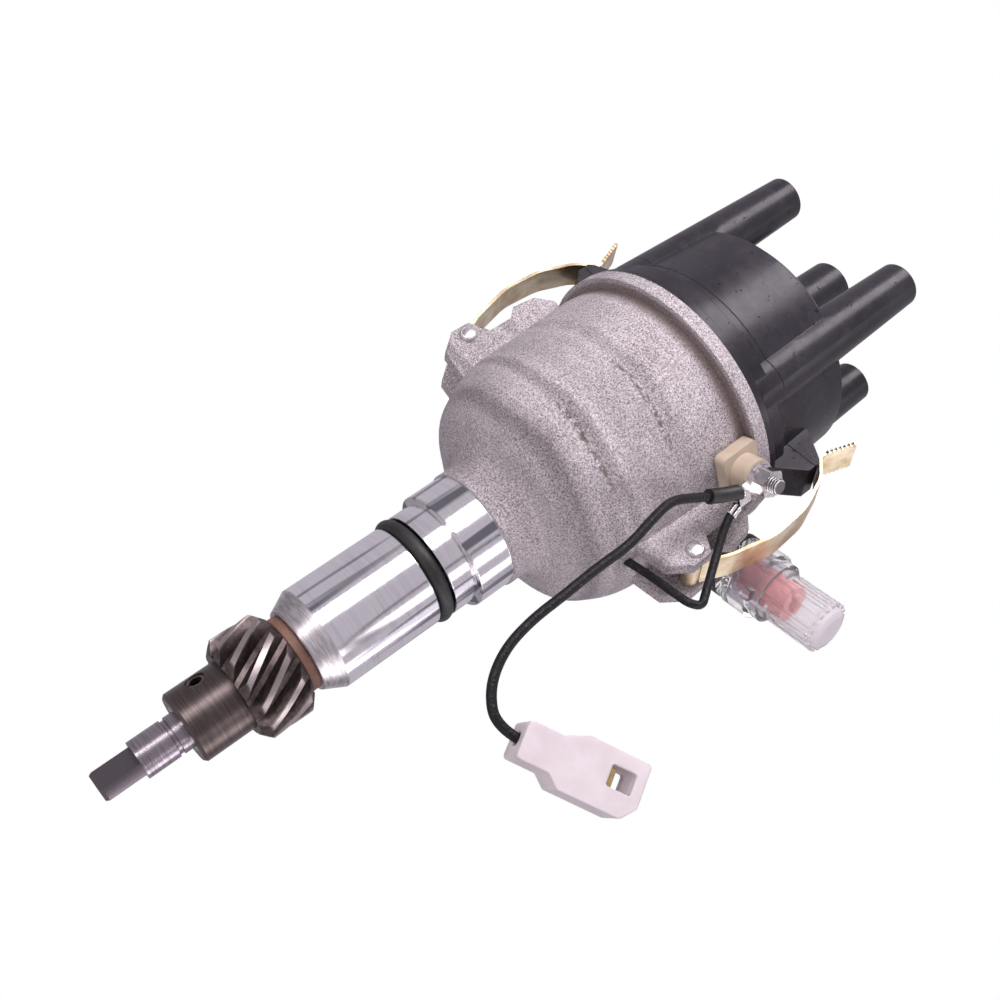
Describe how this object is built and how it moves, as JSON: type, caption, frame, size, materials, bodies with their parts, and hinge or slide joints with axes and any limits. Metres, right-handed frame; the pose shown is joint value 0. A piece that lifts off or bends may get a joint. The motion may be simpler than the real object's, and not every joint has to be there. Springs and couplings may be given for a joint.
{
  "type": "ignition distributor",
  "caption": "Engine ignition distributor with a cast bell, sprung clips, moulded cap with lead towers, helical drive gear, governor, breaker plate and vacuum unit.",
  "frame": {"origin": "on the shaft axis, at the upper end of the machined land under the cast neck", "axes": "+Z along the shaft towards the cap; azimuths turn from +X towards +Y"},
  "size_m": [0.129, 0.1299, 0.2501],
  "materials": {
    "cast_housing": "satin",
    "dark_steel": "satin",
    "steel": "satin",
    "zinc_steel": "satin",
    "yellow_steel": "satin",
    "bronze": "satin",
    "brass": "satin",
    "black_rubber": "matte",
    "fibre": "matte",
    "black_bakelite": "gloss",
    "carbon": "matte",
    "beige_plastic": "matte",
    "black_sleeve": "matte",
    "white_nylon": "satin",
    "clear_plastic": "gloss",
    "red_plastic": "gloss",
    "felt": "matte"
  },
  "bodies": {
    "base": {"housing": "cast_housing", "shaft_bushes": "bronze", "lower_thrust_washer": "fibre", "oring": "black_rubber", "base_plate": "zinc_steel", "base_plate_screws": "zinc_steel", "plate_clip": "steel", "clip_pins": "yellow_steel", "terminal_insulator": "beige_plastic", "terminal_bolt": "zinc_steel", "ring_terminal": "zinc_steel", "terminal_washer": "zinc_steel", "terminal_nut": "zinc_steel", "lead_wire": "black_sleeve", "lead_sleeve": "black_rubber", "short_lead": "black_sleeve", "connector_housing": "white_nylon", "connector_terminal": "brass", "adjuster_gasket": "black_rubber", "adjuster_collar": "clear_plastic", "vacuum_bracket": "yellow_steel", "bracket_screws": "zinc_steel", "vacuum_shell_front": "yellow_steel", "vacuum_shell_back": "yellow_steel", "vacuum_diaphragm": "black_rubber", "vacuum_spring": "steel", "contact_lead": "black_sleeve"},
    "shaft": {"shaft": "dark_steel", "drive_gear": "dark_steel", "roll_pin": "dark_steel", "upper_thrust_washer": "fibre", "governor_plate": "steel", "cam_screw": "zinc_steel", "governor_springs": "steel"},
    "weight_1": {"governor_weight_1": "steel"},
    "weight_2": {"governor_weight_2": "steel"},
    "cam": {"cam": "steel", "oil_felt": "felt", "rotor_arm": "black_bakelite", "rotor_strip": "brass"},
    "plate": {"breaker_plate": "zinc_steel", "fixed_contact": "zinc_steel", "breaker_screws": "zinc_steel", "spring_post": "beige_plastic", "condenser": "zinc_steel", "condenser_clamp": "zinc_steel", "condenser_lead": "black_sleeve", "contact_spring": "steel"},
    "arm": {"contact_arm": "steel", "rubbing_heel": "fibre"},
    "link": {"vacuum_link": "zinc_steel"},
    "cap": {"cap": "black_bakelite", "cap_electrodes": "brass", "brush_spring": "steel"},
    "brush": {"carbon_brush": "carbon"},
    "clip_1": {"clip_1": "yellow_steel"},
    "clip_2": {"clip_2": "yellow_steel"},
    "knob": {"adjuster_knob": "red_plastic", "adjuster_spindle": "zinc_steel"},
    "cover": {"adjuster_cover": "clear_plastic"}
  },
  "joints": [
    {"name": "shaft_spin", "type": "hinge", "parent": "base", "child": "shaft", "pos_m": [0, 0, 0], "axis": [0, 0, -1], "continuous": true},
    {"name": "cam_advance", "type": "hinge", "parent": "shaft", "child": "cam", "pos_m": [0, 0, 0], "axis": [0, 0, -1], "range_deg": [0, 10.5], "stiffness_Nm_per_rad": 0.05, "springref_deg": -5.73, "deforming": ["governor_springs"]},
    {"name": "weight_1_swing", "type": "hinge", "parent": "shaft", "child": "weight_1", "pos_m": [0.017, 0, 0.025], "axis": [0, 0, -1], "range_deg": [0, 8.2]},
    {"name": "weight_2_swing", "type": "hinge", "parent": "shaft", "child": "weight_2", "pos_m": [-0.017, 0, 0.025], "axis": [0, 0, -1], "range_deg": [0, 8.2]},
    {"name": "plate_turn", "type": "hinge", "parent": "base", "child": "plate", "pos_m": [0, 0, 0.0476], "axis": [0, 0, 1], "range_deg": [0, 8], "stiffness_Nm_per_rad": 0.1, "springref_deg": -2.86, "deforming": ["contact_lead", "vacuum_spring", "vacuum_diaphragm"]},
    {"name": "vacuum_link_slide", "type": "slide", "parent": "base", "child": "link", "axis": [-0.4226, 0.9063, 0], "range_m": [0, 0.0021]},
    {"name": "contact_open", "type": "hinge", "parent": "plate", "child": "arm", "pos_m": [-0.0175, 0.016, 0.0545], "axis": [0, 0, 1], "range_deg": [0, 3], "stiffness_Nm_per_rad": 0.02, "springref_deg": -5.73, "deforming": ["contact_spring"]},
    {"name": "cap_lift", "type": "slide", "parent": "base", "child": "cap", "axis": [0, 0, 1], "range_m": [0, 0.036]},
    {"name": "clip_1_swing", "type": "hinge", "parent": "base", "child": "clip_1", "pos_m": [-0.04229, 0.01539, 0.0345], "axis": [-0.342, -0.9397, 0], "range_deg": [0, 90.1]},
    {"name": "clip_2_swing", "type": "hinge", "parent": "base", "child": "clip_2", "pos_m": [0.03897, -0.0225, 0.0345], "axis": [0.5, 0.866, 0], "range_deg": [0, 90.1]},
    {"name": "brush_press", "type": "slide", "parent": "cap", "child": "brush", "axis": [0, 0, 1], "range_m": [0, 0.0012], "stiffness_N_per_m": 100, "springref_m": -0.008, "deforming": ["brush_spring"]},
    {"name": "adjuster_turn", "type": "hinge", "parent": "base", "child": "knob", "pos_m": [0.01755, 0.02091, 0.056], "axis": [0.766, -0.6428, 0], "range_deg": [-120, 120]},
    {"name": "cover_pull", "type": "slide", "parent": "base", "child": "cover", "axis": [0.766, -0.6428, 0], "range_m": [0, 0.035]}
  ],
  "couplings": [
    {"joint": "weight_1_swing", "follows": "cam_advance", "ratio": 0.78},
    {"joint": "weight_2_swing", "follows": "cam_advance", "ratio": 0.78},
    {"joint": "vacuum_link_slide", "follows": "plate_turn", "m_per_rad": 0.0149},
    {"joint": "clip_1_swing", "follows": "cap_lift", "rad_per_m": 43.633},
    {"joint": "clip_2_swing", "follows": "cap_lift", "rad_per_m": 43.633}
  ]
}
